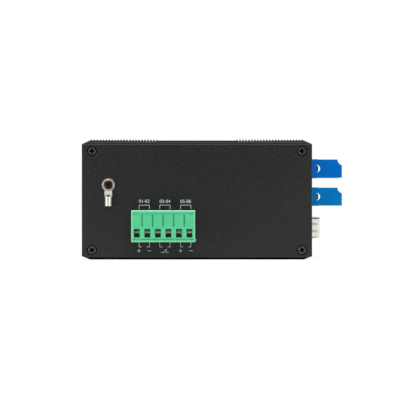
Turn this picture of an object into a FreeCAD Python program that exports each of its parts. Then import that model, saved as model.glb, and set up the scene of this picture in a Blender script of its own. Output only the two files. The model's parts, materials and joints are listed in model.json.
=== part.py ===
import FreeCAD, Part
import math
import os

# Industrial ethernet switch in an extruded aluminium case, lying on its plain broad side.
# Millimetres. X runs from the back wall to the front panel, Y from the power end to the
# plain end, Z up. The origin is the middle of the bottom face.

# Case section
case_width = 113.0
case_height = 58.5
section_length = 154.0
wall = 2.0
back_wall = 2.5
corner_run = 3.8
corner_rise = 1.7
fin_count = 23
fin_pitch = 1.466
fin_height = 0.42
fin_valley = 0.35
fin_foot = 0.7
fin_crest = 0.5
fin_margin = 0.3
front_block = 9.0
boss_radius = 2.8
guide_depth = 3.0
guide_rib = 1.2
bracket_hole_d = 3.0
bracket_pitch_y = 60.0
bracket_pitch_z = 30.0

# Clearances
slide_clearance = 0.1
seat_gap = 0.1
thread_clearance = 0.02
port_clearance = 0.25
hole_clearance = 0.1
cut_over = 1.0
same_place = 0.001

# Front panel
panel_thickness = 1.5
panel_setback = 1.3
groove_depth = 2.0
rim_over_port = 0.2

# End plates and their countersunk screws
plate_thickness = 2.0
plate_low_margin = 1.15
plate_edge_bevel = 0.35
end_screw_inset_x = 5.0
end_screw_inset_z = 3.55
end_screw_d = 2.5
end_screw_head = 3.9
end_screw_sunk = 0.1
end_screw_length = 9.0
end_screw_hole = 2.8
screw_recess_d = 4.9
screw_recess_depth = 0.9

# Board stack
board_thickness = 1.6
main_board_top = 10.65
fibre_board_drop = 17.92
lower_level_extra = 1.63
board_gap = 0.5
fibre_board_clearance = 0.5
fibre_board_inset = 3.0
fibre_board_length = 54.0
spacer_inset = 4.0
spacer_flats = 5.0
stack_screw_d = 2.5
stack_screw_head = 4.6
stack_screw_head_height = 1.7
stack_screw_length = 7.0
spacer_stud = 4.0
spacer_bore_depth = 8.5
link_inset = 8.0
link_gap = 2.0
link_width = 5.0
link_length = 18.0
link_rib = 0.6

# Fibre transceivers with duplex noses
nose_height = 9.04
nose_width = 25.4
nose_reach = 16.3
nose_near = 20.0
collar_step = 0.15
collar_reach = 4.2
fibre_pitch = 12.7
socket_width = 9.0
socket_height = 7.5
socket_depth = 14.5
key_width = 2.4
key_depth = 4.5
notch_radius = 2.9
notch_shift = 0.7
window_radius = 1.8
window_reach = 3.7
inner_window_width = 4.2
inner_window_height = 5.2
transceiver_length = 33.0
holder_base = 2.0
holder_tube_d = 3.4
holder_bore_d = 2.6
holder_reach = 3.0
holder_taper = 1.0
holder_lip = 0.12

# Pluggable optic cage
cage_reach = 4.6
cage_length = 54.0
cage_bay_width = 14.0
cage_bay_height = 9.0
cage_sheet = 0.4
cage_centre = 21.0
collar_band = 1.2
collar_sheet = 0.2
finger_flare = 0.6
finger_width = 2.2
finger_pitch = 3.4
host_length = 9.0
host_width = 12.0
host_height = 5.4
host_slot_inset = 3.0
host_slot_width = 10.0
host_slot_low = 2.4
host_slot_height = 1.4

# Copper jacks
jack_count = 4
jack_pitch = 18.0
jack_from_end = 71.0
jack_width = 16.0
jack_height = 13.3
jack_length = 21.0
jack_sheet = 0.4
jack_proud = 0.3
plug_bay_width = 11.8
plug_bay_height = 7.0
plug_bay_floor = 3.6
plug_bay_depth = 14.0
latch_bay_width = 6.2
latch_bay_height = 1.4
latch_tip_width = 3.6
latch_tip_height = 1.2
contact_count = 8
contact_pitch = 1.02
contact_wire = 0.45
contact_run = 6.5
contact_drop = 2.0

# Indicator lamps
lamp_count = 6
lamp_d = 3.0
lamp_from_end = 32.0
lamp_pitch = 3.5
lamp_height = 2.6
lamp_length = 5.0
lamp_proud = 0.6

# Terminal header on the main board
pole_count = 6
pole_pitch = 5.08
terminal_from_back = 40.2
header_side = 0.9
header_wall = 0.7
header_height = 8.6
header_depth = 12.0
header_bay_depth = 8.5
pin_size = 1.0
pin_height = 4.1
pin_tip_gap = 1.5
pin_leg_inset = 1.5
pin_tail = 1.4

# Terminal plug
plug_width = 30.9
plug_low = 8.85
plug_height = 15.4
plug_reach = 12.0
plug_gap = 0.3
plug_overhang = 0.2
nose_fit = 0.3
plug_nose_length = 8.0
face_bevel = 0.35
groove_inset = 0.5
upper_groove_depth = 0.5
upper_groove_low = 13.2
upper_groove_height = 1.1
lower_groove_depth = 0.8
lower_groove_low = 0.9
lower_groove_height = 0.8
rib_groove_width = 0.7
rib_groove_depth = 1.0
rib_groove_low = 7.5
joining_rib = 0.3
joining_rib_low = 0.5
joining_rib_height = 1.0
wire_hole_width = 2.8
wire_hole_low = 2.3
wire_hole_height = 4.1
front_wall = 2.6

# Screw clamps inside the plug
clamp_travel = 2.0
clamp_screw_d = 3.0
clamp_screw_head = 3.8
clamp_screw_head_height = 1.8
clamp_slot_width = 0.6
clamp_slot_depth = 1.0
clamp_cage_width = 4.2
clamp_cage_length = 5.0
clamp_cage_floor = 0.7
clamp_cage_side = 0.5
clamp_cage_top = 1.5
clamp_fit = 0.3
clamp_side_fit = 0.15
shoulder = 0.6
head_fit = 0.2
bar_width = 2.6
bar_thickness = 2.0
bar_height = 4.3
bar_nose = 1.4
wire_gap = 2.15
thread_room = 0.9
socket_outer = 2.2
socket_bore = 1.2
socket_length = 7.5

# Ground screw and ring lug
ground_from_back = 13.1
ground_z = 36.65
ground_screw_d = 2.5
ground_head_d = 4.4
ground_head_height = 1.7
ground_head_rim = 0.9
ground_screw_length = 7.0
lug_sheet = 0.8
lug_ring_d = 6.3
lug_neck_width = 3.7
lug_neck_end = 4.4
lug_barrel_start = 5.9
lug_barrel_d = 3.5
lug_barrel_bore = 2.1
lug_barrel_length = 4.5
ground_nut_flats = 5.0
ground_nut_height = 2.0

# Parts on the main board
chip_size = 20.0
chip_height = 1.6
chip_from_back = 42.5
chip_from_end = 97.0
sink_size = 24.0
sink_base = 2.0
sink_height = 11.0
sink_fins = 7
sink_fin_thickness = 1.2
magnetics_length = 10.0
magnetics_width = 13.0
magnetics_height = 6.0
magnetics_gap = 4.0
capacitor_d = 10.0
capacitor_height = 13.0
capacitor_from_back = 32.5
capacitor_from_end = 25.0
capacitor_pitch = 12.0
capacitor_foot = 1.2
capacitor_foot_bevel = 1.7
capacitor_count = 2
inductor_size = 12.0
inductor_height = 7.0
inductor_from_back = 14.5
inductor_from_end = 43.0
inductor_corner = 2.5
relay_length = 20.0
relay_width = 10.0
relay_height = 15.0
relay_from_back = 16.5
relay_from_end = 23.0
relay_edge = 0.6

# Places worked out from the sizes above
V = FreeCAD.Vector
ALONG_X = V(1, 0, 0)
ALONG_Y = V(0, 1, 0)
ALONG_Z = V(0, 0, 1)
half_width = case_width / 2
half_length = section_length / 2
power_face = -half_length - plate_thickness
plain_face = half_length + plate_thickness
main_board_low = main_board_top - board_thickness
terminal_x = -half_width + terminal_from_back
ground_x = -half_width + ground_from_back
chip_x = -half_width + chip_from_back
chip_y = power_face + chip_from_end
capacitor_x = -half_width + capacitor_from_back
capacitor_y = power_face + capacitor_from_end
inductor_x = -half_width + inductor_from_back
inductor_y = power_face + inductor_from_end
relay_x = -half_width + relay_from_back
relay_y = power_face + relay_from_end
upper_board_top = case_height - fibre_board_drop
stack_rise = upper_board_top - main_board_top
lower_board_top = main_board_top + (stack_rise + lower_level_extra) / 2
sill = main_board_low - seat_gap
lintel = upper_board_top + nose_height + collar_step + port_clearance + rim_over_port
panel_outside = half_width - panel_setback
panel_inside = panel_outside - panel_thickness
board_front = panel_inside - board_gap
fibre_board_near = -half_length + fibre_board_inset
plate_low = plate_low_margin
plate_high = case_height - corner_rise
screw_places = [
    (side * (half_width - end_screw_inset_x), z)
    for side in (-1, 1)
    for z in (plate_low + end_screw_inset_z, plate_high - end_screw_inset_z)
]
nose_tip = half_width + nose_reach
nose_low_y = power_face + nose_near
nose_middle_y = nose_low_y + nose_width / 2
cage_tip = half_width + cage_reach
cage_middle_y = power_face + cage_centre
cage_half_width = cage_bay_width / 2 + cage_sheet
cage_height = cage_bay_height + 2 * cage_sheet
jack_front = panel_outside + jack_proud
jack_places = [power_face + jack_from_end + index * jack_pitch for index in range(jack_count)]
lamp_places = [power_face + lamp_from_end + index * lamp_pitch for index in range(lamp_count)]
lamp_z = main_board_top + lamp_height
pole_places = [
    terminal_x + (index - (pole_count - 1) / 2) * pole_pitch for index in range(pole_count)
]
header_half = plug_width / 2 - plug_overhang
fibre_board_back = terminal_x + header_half + fibre_board_clearance
header_back = power_face + header_depth
header_bay_back = power_face + header_bay_depth
header_bay_half = header_half - header_side
header_bay_low = main_board_top + header_wall
header_bay_high = main_board_top + header_height - header_wall
pin_z = main_board_top + pin_height
spacer_places = [
    (fibre_board_back + spacer_inset, y)
    for y in (
        fibre_board_near + spacer_inset,
        fibre_board_near + fibre_board_length - spacer_inset,
    )
]


def block(x0, x1, y0, y1, z0, z1):
    """Solid box between two corners."""
    return Part.makeBox(x1 - x0, y1 - y0, z1 - z0, V(x0, y0, z0))


def prism_along_y(outline, y0, y1):
    """Closed outline of (x, z) points, extruded from y0 to y1."""
    corners = [V(x, y0, z) for x, z in outline]
    face = Part.Face(Part.makePolygon(corners + corners[:1]))
    return face.extrude(V(0, y1 - y0, 0))


def hexagon_along_z(x, y, flats, z0, z1):
    """Hexagonal bar of a width across flats."""
    radius = flats / math.sqrt(3)
    corners = []
    for step in range(6):
        turn = math.radians(60 * step)
        corners.append(V(x + radius * math.cos(turn), y + radius * math.sin(turn), z0))
    face = Part.Face(Part.makePolygon(corners + corners[:1]))
    return face.extrude(V(0, 0, z1 - z0))


def save(name, solids):
    """Write one named piece, made of one solid or of several like ones."""
    shape = solids if isinstance(solids, Part.Shape) else Part.makeCompound(solids)
    shape.exportStep("parts/" + name + ".step")


def bevelled_outline(half, low, high):
    """Rectangle with the four corner bevels of the case."""
    return [
        (-half + corner_run, low),
        (half - corner_run, low),
        (half, low + corner_rise),
        (half, high - corner_rise),
        (half - corner_run, high),
        (-half + corner_run, high),
        (-half, high - corner_rise),
        (-half, low + corner_rise),
    ]


def ridge_outline():
    """Top edge of the section from right to left, between its upper bevels, with two groups of ridges."""
    bank = fin_foot / 2 + fin_margin
    first = half_width - corner_run - bank
    right = [first - index * fin_pitch for index in range(fin_count)]
    left = [-centre for centre in reversed(right)]
    valley = case_height - fin_valley
    crest = case_height + fin_height
    points = []
    for group in (right, left):
        points.append((group[0] + bank, case_height))
        for centre in group:
            points.append((centre + fin_foot / 2, valley))
            points.append((centre + fin_crest / 2, crest))
            points.append((centre - fin_crest / 2, crest))
            points.append((centre - fin_foot / 2, valley))
        points.append((group[-1] - bank, case_height))
    return points


def case_extrusion():
    """One extruded section: three walls, front corner blocks, screw bosses and card guides."""
    outline = bevelled_outline(half_width, 0, case_height)
    section = prism_along_y(outline[:4] + ridge_outline() + outline[6:], -half_length, half_length)
    back = -half_width + back_wall
    front = half_width - front_block
    cavity = [
        (back, wall),
        (front, wall),
        (front, sill),
        (case_width, sill),
        (case_width, lintel),
        (front, lintel),
        (front, case_height - wall),
        (back, case_height - wall),
    ]
    section = section.cut(prism_along_y(cavity, -half_length, half_length))
    groove = block(
        panel_inside - slide_clearance,
        panel_outside + slide_clearance,
        -half_length,
        half_length,
        sill - groove_depth,
        lintel + groove_depth,
    )
    bosses = [
        Part.makeCylinder(boss_radius, section_length, V(x, -half_length, z), ALONG_Y)
        for x, z in screw_places
        if x < 0
    ]
    guides = [
        block(back - slide_clearance, back + guide_depth, -half_length, half_length, low, low + guide_rib)
        for low in (main_board_low - seat_gap - guide_rib, main_board_top + seat_gap)
    ]
    section = section.cut(groove).fuse(bosses + guides).removeSplitter()
    screw_holes = [
        Part.makeCylinder(
            end_screw_d / 2 + thread_clearance, section_length, V(x, -half_length, z), ALONG_Y
        )
        for x, z in screw_places
    ]
    bracket_holes = [
        Part.makeCylinder(
            bracket_hole_d / 2,
            back_wall + 2 * cut_over,
            V(-half_width - cut_over, y * bracket_pitch_y / 2, (case_height + z * bracket_pitch_z) / 2),
            ALONG_X,
        )
        for y in (-1, 1)
        for z in (-1, 1)
    ]
    return section.cut(screw_holes + bracket_holes)


def front_panel():
    """Flat panel that slides into the front grooves, with a cut-out for each port and lamp."""
    panel = block(
        panel_inside,
        panel_outside,
        -half_length + slide_clearance,
        half_length - slide_clearance,
        sill - groove_depth + slide_clearance,
        lintel + groove_depth - slide_clearance,
    )
    x0 = panel_inside - cut_over
    x1 = panel_outside + cut_over
    room = port_clearance
    cuts = []
    nose_room = collar_step + room
    for floor in (lower_board_top, upper_board_top):
        cuts.append(
            block(
                x0,
                x1,
                nose_low_y - nose_room,
                nose_low_y + nose_width + nose_room,
                floor - nose_room,
                floor + nose_height + nose_room,
            )
        )
    cuts.append(
        block(
            x0,
            x1,
            cage_middle_y - cage_half_width - room,
            cage_middle_y + cage_half_width + room,
            main_board_top - room,
            main_board_top + cage_height + room,
        )
    )
    for y in jack_places:
        half = jack_width / 2 + room
        top = main_board_top + jack_height + room
        cuts.append(block(x0, x1, y - half, y + half, main_board_top - room, top))
    for y in lamp_places:
        hole = Part.makeCylinder(lamp_d / 2 + hole_clearance, x1 - x0, V(x0, y, lamp_z), ALONG_X)
        cuts.append(hole)
    return panel.cut(cuts)


def end_plate(inner_face, outer_face):
    """Plate within the case's outline, with a recessed, countersunk hole at each corner."""
    inward = 1 if inner_face > outer_face else -1
    near, far = sorted((inner_face, outer_face))
    band = block(-half_width, half_width, near, far, plate_low, plate_high)
    plate = prism_along_y(bevelled_outline(half_width, 0, case_height), near, far).common(band)
    rim = [
        edge
        for edge in plate.Edges
        if all(abs(corner.Y - outer_face) < same_place for corner in edge.Vertexes)
    ]
    plate = plate.makeChamfer(plate_edge_bevel, rim)
    sink_depth = (end_screw_head - end_screw_hole) / 2
    way = V(0, inward, 0)
    cuts = []
    for x, z in screw_places:
        start = V(x, outer_face, z)
        seat = start + way * screw_recess_depth
        cuts.append(Part.makeCylinder(screw_recess_d / 2, screw_recess_depth, start, way))
        cuts.append(Part.makeCone(end_screw_head / 2, end_screw_hole / 2, sink_depth, seat, way))
        cuts.append(Part.makeCylinder(end_screw_hole / 2, plate_thickness, start, way))
    return plate.cut(cuts)


def power_end_plate():
    """Plate at the power end, with the header's window and the ground screw's hole."""
    plate = end_plate(-half_length, power_face)
    window = block(
        terminal_x - header_half - hole_clearance,
        terminal_x + header_half + hole_clearance,
        power_face - cut_over,
        -half_length + cut_over,
        main_board_top - hole_clearance,
        main_board_top + header_height + hole_clearance,
    )
    ground_hole = Part.makeCylinder(
        ground_screw_d / 2 + hole_clearance,
        plate_thickness + 2 * cut_over,
        V(ground_x, power_face - cut_over, ground_z),
        ALONG_Y,
    )
    return plate.cut([window, ground_hole])


def end_screws(outer_face, inward):
    """Four countersunk screws of one end; each cone seats below its recess in the plate."""
    rim = screw_recess_depth - end_screw_sunk
    cone = (end_screw_head - end_screw_d) / 2
    way = V(0, inward, 0)
    screws = []
    for x, z in screw_places:
        head_top = V(x, outer_face + inward * end_screw_sunk, z)
        head = Part.makeCylinder(end_screw_head / 2, rim, head_top, way)
        taper = Part.makeCone(end_screw_head / 2, end_screw_d / 2, cone, head_top + way * rim, way)
        shank = Part.makeCylinder(end_screw_d / 2, end_screw_length, head_top, way)
        screws.append(head.fuse([taper, shank]).removeSplitter())
    return screws


def board_holes(top):
    """Cutters for the stack's screw holes in one board."""
    radius = stack_screw_d / 2 + hole_clearance
    low = top - board_thickness - cut_over
    height = board_thickness + 2 * cut_over
    return [Part.makeCylinder(radius, height, V(x, y, low), ALONG_Z) for x, y in spacer_places]


def main_board(pin_tails):
    """Board that slides in the case's card guides and carries the header and the ports."""
    board = block(
        -half_width + back_wall + slide_clearance,
        board_front,
        -half_length + board_gap,
        half_length - board_gap,
        main_board_low,
        main_board_top,
    )
    return board.cut(board_holes(main_board_top) + pin_tails)


def fibre_board(top):
    """Small board above the main board, one for each transceiver."""
    board = block(
        fibre_board_back,
        board_front,
        fibre_board_near,
        fibre_board_near + fibre_board_length,
        top - board_thickness,
        top,
    )
    return board.cut(board_holes(top))


def stack_spacers(low, high, stud):
    """Two hexagonal spacers between two boards; upper ones have a stud through the board below."""
    length = high - board_thickness - low
    bore = stack_screw_d / 2 + thread_clearance
    stud_length = board_thickness + spacer_stud
    spacers = []
    for x, y in spacer_places:
        spacer = hexagon_along_z(x, y, spacer_flats, low, low + length)
        if stud:
            threaded = Part.makeCylinder(bore, spacer_bore_depth, V(x, y, low + length), -ALONG_Z)
            foot = Part.makeCylinder(stack_screw_d / 2, stud_length, V(x, y, low), -ALONG_Z)
            spacer = spacer.cut(threaded).fuse(foot)
        else:
            spacer = spacer.cut(Part.makeCylinder(bore, length, V(x, y, low), ALONG_Z))
        spacers.append(spacer)
    return spacers


def stack_screws():
    """Hexagon-head screws: two under the main board and two on the upper fibre board."""
    screws = []
    for face, way in ((main_board_low, 1), (upper_board_top, -1)):
        for x, y in spacer_places:
            head = hexagon_along_z(x, y, stack_screw_head, face, face - way * stack_screw_head_height)
            shank = Part.makeCylinder(stack_screw_d / 2, stack_screw_length, V(x, y, face), V(0, 0, way))
            screws.append(head.fuse(shank))
    return screws


def stack_connectors():
    """Tall ribbed connectors that link the boards, one between each pair."""
    x = fibre_board_back + link_inset
    y = nose_low_y + nose_width + link_gap
    connectors = []
    for low, above in ((main_board_top, lower_board_top), (lower_board_top, upper_board_top)):
        high = above - board_thickness
        split = (low + high) / 2
        socket = block(x, x + link_length, y, y + link_width, low, split)
        plug = block(
            x + link_rib,
            x + link_length - link_rib,
            y + link_rib,
            y + link_width - link_rib,
            split,
            high,
        )
        connectors.append(socket.fuse(plug))
    return connectors


def fibre_transceiver(floor):
    """Shielded body of a duplex transceiver, standing on its board behind the panel."""
    front = nose_tip - socket_depth - holder_base
    body = block(
        board_front - transceiver_length,
        front,
        nose_low_y,
        nose_low_y + nose_width,
        floor,
        floor + nose_height,
    )
    upper = [
        edge
        for edge in body.Edges
        if all(abs(corner.Z - floor - nose_height) < same_place for corner in edge.Vertexes)
    ]
    return body.makeChamfer(collar_step, upper)


def fibre_nose(floor):
    """Moulded nose with two fibre sockets, key slots, a half-round window in its near side, a
    longer one through the walls behind it, and a hollowed top corner."""
    top = floor + nose_height
    middle_z = floor + nose_height / 2
    base = nose_tip - socket_depth - holder_base
    nose = block(base, nose_tip, nose_low_y, nose_low_y + nose_width, floor, top)
    collar = block(
        base,
        half_width + collar_reach,
        nose_low_y - collar_step,
        nose_low_y + nose_width + collar_step,
        floor - collar_step,
        top + collar_step,
    )
    nose = nose.fuse(collar).removeSplitter()
    cuts = []
    for side in (-1, 1):
        y = nose_middle_y + side * fibre_pitch / 2
        half = socket_width / 2
        low = middle_z - socket_height / 2
        high = middle_z + socket_height / 2
        cuts.append(block(base, nose_tip + cut_over, y - half, y + half, low, high))
        key = block(
            nose_tip - key_depth,
            nose_tip + cut_over,
            y - key_width / 2,
            y + key_width / 2,
            middle_z,
            top + cut_over,
        )
        cuts.append(key)
    across = nose_width + 2 * (collar_step + cut_over)
    start_y = nose_low_y - collar_step - cut_over
    cuts.append(
        Part.makeCylinder(notch_radius, across, V(nose_tip + notch_shift, start_y, top), ALONG_Y)
    )
    window_back = half_width + window_reach
    full_round = Part.makeCylinder(window_radius, across, V(window_back, start_y, middle_z), ALONG_Y)
    front_half = block(
        window_back,
        window_back + window_radius,
        start_y,
        start_y + across,
        middle_z - window_radius,
        middle_z + window_radius,
    )
    cuts.append(full_round.common(front_half))
    cuts.append(
        block(
            window_back,
            window_back + inner_window_width,
            nose_middle_y - fibre_pitch / 2,
            start_y + across,
            middle_z - inner_window_height / 2,
            middle_z + inner_window_height / 2,
        )
    )
    return nose.cut(cuts)


def sleeve_holder(floor):
    """Pale carrier at the bottom of the sockets, with a tapering tube for each fibre's ferrule."""
    middle_z = floor + nose_height / 2
    back = nose_tip - socket_depth - holder_base
    face = nose_tip - socket_depth
    pieces = []
    for side in (-1, 1):
        y = nose_middle_y + side * fibre_pitch / 2
        half_y = socket_width / 2 - slide_clearance
        half_z = socket_height / 2 - slide_clearance
        base = block(back, face, y - half_y, y + half_y, middle_z - half_z, middle_z + half_z)
        straight = holder_reach - holder_taper
        tube = Part.makeCylinder(holder_tube_d / 2, straight, V(face, y, middle_z), ALONG_X)
        tip_radius = holder_bore_d / 2 + holder_lip
        taper_start = V(face + straight, y, middle_z)
        taper = Part.makeCone(holder_tube_d / 2, tip_radius, holder_taper, taper_start, ALONG_X)
        length = holder_reach + holder_base
        bore = Part.makeCylinder(holder_bore_d / 2, length, V(back, y, middle_z), ALONG_X)
        pieces.append(base.fuse([tube, taper]).removeSplitter().cut(bore))
    return pieces


def sfp_cage():
    """Folded sheet cage for a pluggable optic, open at the front."""
    outer = block(
        cage_tip - cage_length,
        cage_tip,
        cage_middle_y - cage_half_width,
        cage_middle_y + cage_half_width,
        main_board_top,
        main_board_top + cage_height,
    )
    bay = block(
        cage_tip - cage_length + cage_sheet,
        cage_tip + cut_over,
        cage_middle_y - cage_bay_width / 2,
        cage_middle_y + cage_bay_width / 2,
        main_board_top + cage_sheet,
        main_board_top + cage_sheet + cage_bay_height,
    )
    return outer.cut(bay)


def spring_finger(width):
    """Slanting leaf from the band at the mouth down to the panel, lying flat on a wall."""
    near = cage_tip - collar_band
    far = panel_outside + slide_clearance
    outline = [
        V(near + collar_sheet, 0, 0),
        V(near + collar_sheet, 0, collar_sheet),
        V(far, 0, finger_flare + collar_sheet),
        V(far, 0, finger_flare),
        V(near, 0, 0),
    ]
    face = Part.Face(Part.makePolygon(outline + outline[:1]))
    return face.extrude(V(0, width, 0))


def sfp_spring_collar():
    """Band round the cage's mouth with spring fingers that flare towards the panel."""
    low = main_board_top
    high = main_board_top + cage_height
    outer = block(
        cage_tip - collar_band,
        cage_tip,
        cage_middle_y - cage_half_width - collar_sheet,
        cage_middle_y + cage_half_width + collar_sheet,
        low - collar_sheet,
        high + collar_sheet,
    )
    inner = block(
        cage_tip - collar_band - cut_over,
        cage_tip + cut_over,
        cage_middle_y - cage_half_width,
        cage_middle_y + cage_half_width,
        low,
        high,
    )
    fingers = []
    middle = V(0, cage_middle_y, (low + high) / 2)
    for turn, reach, span in (
        (0, cage_height / 2, 2 * cage_half_width),
        (90, cage_half_width, cage_height),
        (180, cage_height / 2, 2 * cage_half_width),
        (270, cage_half_width, cage_height),
    ):
        count = int((span + finger_pitch - finger_width) / finger_pitch)
        for index in range(count):
            finger = spring_finger(finger_width)
            offset = (index - (count - 1) / 2) * finger_pitch - finger_width / 2
            finger.translate(V(0, offset, reach))
            finger.rotate(V(0, 0, 0), ALONG_X, turn)
            finger.translate(middle)
            fingers.append(finger)
    return outer.cut(inner).fuse(fingers).removeSplitter()


def sfp_connector():
    """Edge connector at the closed end of the cage."""
    x0 = cage_tip - cage_length + cage_sheet + slide_clearance
    floor = main_board_top + cage_sheet
    body = block(
        x0,
        x0 + host_length,
        cage_middle_y - host_width / 2,
        cage_middle_y + host_width / 2,
        floor,
        floor + host_height,
    )
    slot = block(
        x0 + host_slot_inset,
        x0 + host_length + cut_over,
        cage_middle_y - host_slot_width / 2,
        cage_middle_y + host_slot_width / 2,
        floor + host_slot_low,
        floor + host_slot_low + host_slot_height,
    )
    return body.cut(slot)


def jack_shield(y):
    """Folded shield over a copper jack: top, two sides and back."""
    outer = block(
        jack_front - jack_length,
        jack_front,
        y - jack_width / 2,
        y + jack_width / 2,
        main_board_top,
        main_board_top + jack_height,
    )
    inner = block(
        jack_front - jack_length + jack_sheet,
        jack_front + cut_over,
        y - jack_width / 2 + jack_sheet,
        y + jack_width / 2 - jack_sheet,
        main_board_top - cut_over,
        main_board_top + jack_height - jack_sheet,
    )
    return outer.cut(inner)


def jack_insert(y):
    """Moulded block inside the shield, with the stepped bay for an eight-way plug."""
    body = block(
        jack_front - jack_length + jack_sheet,
        jack_front,
        y - jack_width / 2 + jack_sheet,
        y + jack_width / 2 - jack_sheet,
        main_board_top,
        main_board_top + jack_height - jack_sheet,
    )
    floor = main_board_top + plug_bay_floor
    steps = (
        (plug_bay_width, floor, floor + plug_bay_height),
        (latch_bay_width, floor - latch_bay_height, floor + cut_over),
        (latch_tip_width, floor - latch_bay_height - latch_tip_height, floor),
    )
    cuts = [
        block(
            jack_front - plug_bay_depth,
            jack_front + cut_over,
            y - width / 2,
            y + width / 2,
            low,
            high,
        )
        for width, low, high in steps
    ]
    return body.cut(cuts)


def jack_contacts(y):
    """Eight spring wires that slant down from the bay's ceiling to its back."""
    ceiling = main_board_top + plug_bay_floor + plug_bay_height
    back = jack_front - plug_bay_depth
    outline = [
        (back, ceiling - contact_drop - contact_wire),
        (back + contact_run, ceiling - contact_wire),
        (back + contact_run, ceiling),
        (back, ceiling - contact_drop),
    ]
    wires = []
    for index in range(contact_count):
        middle = y + (index - (contact_count - 1) / 2) * contact_pitch
        wires.append(prism_along_y(outline, middle - contact_wire / 2, middle + contact_wire / 2))
    return wires


def indicator_lamps():
    """Round lamps, one in each small hole of the panel."""
    length = lamp_length + lamp_proud
    start = panel_outside - lamp_length
    return [Part.makeCylinder(lamp_d / 2, length, V(start, y, lamp_z), ALONG_X) for y in lamp_places]


def header_pins():
    """Six bent square pins, from the header's bay down through the main board."""
    half = pin_size / 2
    leg = header_back - pin_leg_inset
    pins = []
    for x in pole_places:
        arm = block(x - half, x + half, power_face + pin_tip_gap, leg + half, pin_z - half, pin_z + half)
        tail = block(x - half, x + half, leg - half, leg + half, main_board_low - pin_tail, pin_z + half)
        pins.append(arm.fuse(tail).removeSplitter())
    return pins


def terminal_header(pins):
    """Shrouded header on the main board; its mouth stands in the power end plate's window."""
    body = block(
        terminal_x - header_half,
        terminal_x + header_half,
        power_face,
        header_back,
        main_board_top,
        main_board_top + header_height,
    )
    bay = block(
        terminal_x - header_bay_half,
        terminal_x + header_bay_half,
        power_face - cut_over,
        header_bay_back,
        header_bay_low,
        header_bay_high,
    )
    return body.cut([bay] + pins)


# Heights and depths inside the terminal plug, from the clamp's sizes
plug_front = power_face - plug_reach
plug_back = power_face - plug_gap
plug_top = plug_low + plug_height
bar_low = plug_low + bar_height
bar_high = bar_low + bar_thickness
clamp_cage_inside = bar_low - wire_gap
clamp_cage_low = clamp_cage_inside - clamp_cage_floor
clamp_cage_ceiling = bar_high + thread_room
clamp_cage_high = clamp_cage_ceiling + clamp_cage_top
chamber_front = plug_front + front_wall
chamber_back = chamber_front + clamp_cage_length + 2 * clamp_fit
chamber_low = clamp_cage_low - clamp_fit
chamber_high = clamp_cage_high + clamp_travel + clamp_fit
chamber_half = clamp_cage_width / 2 + clamp_side_fit
clamp_y = (chamber_front + chamber_back) / 2
head_seat = chamber_high + shoulder
socket_back = power_face + plug_nose_length - plug_gap


def terminal_plug():
    """Moulded plug: a chamber, a wire hole and a screw hole for each pole, and a nose behind."""
    body = block(
        terminal_x - plug_width / 2,
        terminal_x + plug_width / 2,
        plug_front,
        plug_back,
        plug_low,
        plug_top,
    )
    front_rim = [
        edge
        for edge in body.Edges
        if all(abs(corner.Y - plug_front) < same_place for corner in edge.Vertexes)
    ]
    body = body.makeChamfer(face_bevel, front_rim)
    nose = block(
        terminal_x - header_bay_half + nose_fit,
        terminal_x + header_bay_half - nose_fit,
        plug_back,
        power_face + plug_nose_length,
        header_bay_low + nose_fit,
        header_bay_high - nose_fit,
    )
    rib_low = plug_low + joining_rib_low
    rib = block(
        terminal_x + plug_width / 2,
        terminal_x + plug_width / 2 + joining_rib,
        plug_front + face_bevel,
        plug_back,
        rib_low,
        rib_low + joining_rib_height,
    )
    plug = body.fuse([nose, rib]).removeSplitter()
    cuts = []
    for low, height, depth in (
        (upper_groove_low, upper_groove_height, upper_groove_depth),
        (lower_groove_low, lower_groove_height, lower_groove_depth),
    ):
        cuts.append(
            block(
                terminal_x - plug_width / 2 + groove_inset,
                terminal_x + plug_width / 2 - groove_inset,
                plug_front - cut_over,
                plug_front + depth,
                plug_low + low,
                plug_low + low + height,
            )
        )
    for x in pole_places[1:]:
        middle = x - pole_pitch / 2
        cuts.append(
            block(
                middle - rib_groove_width / 2,
                middle + rib_groove_width / 2,
                plug_front - cut_over,
                plug_front + rib_groove_depth,
                plug_low + rib_groove_low,
                plug_low + upper_groove_low,
            )
        )
    for x in pole_places:
        cuts.append(
            block(
                x - wire_hole_width / 2,
                x + wire_hole_width / 2,
                plug_front - cut_over,
                chamber_front + cut_over,
                plug_low + wire_hole_low,
                plug_low + wire_hole_low + wire_hole_height,
            )
        )
        cuts.append(
            block(x - chamber_half, x + chamber_half, chamber_front, chamber_back, chamber_low, chamber_high)
        )
        shank_room = clamp_screw_d / 2 + head_fit
        head_room = clamp_screw_head / 2 + head_fit
        above = plug_top - chamber_high + cut_over
        cuts.append(Part.makeCylinder(shank_room, above, V(x, clamp_y, chamber_high), ALONG_Z))
        cuts.append(Part.makeCylinder(head_room, above, V(x, clamp_y, head_seat), ALONG_Z))
        channel = max(socket_outer, bar_width) / 2 + head_fit
        cuts.append(
            block(
                x - channel,
                x + channel,
                chamber_back - cut_over,
                power_face + plug_nose_length + cut_over,
                bar_low,
                pin_z + channel,
            )
        )
    return plug.cut(cuts)


def plug_contacts():
    """Six contacts: a round-nosed bar through the clamp, with a square socket for the header's pin."""
    contacts = []
    half = socket_outer / 2
    bore = socket_bore / 2
    start = socket_back - socket_length
    for x in pole_places:
        tip = chamber_front + clamp_fit
        bar = block(x - bar_width / 2, x + bar_width / 2, tip, socket_back, bar_low, bar_high)
        upper_tip = [
            edge
            for edge in bar.Edges
            if all(abs(c.Y - tip) + abs(c.Z - bar_high) < same_place for c in edge.Vertexes)
        ]
        bar = bar.makeFillet(bar_nose, upper_tip)
        socket = block(x - half, x + half, start, socket_back, pin_z - half, pin_z + half)
        hole = block(x - bore, x + bore, start, socket_back + cut_over, pin_z - bore, pin_z + bore)
        contacts.append(bar.fuse(socket).removeSplitter().cut(hole))
    return contacts


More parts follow.
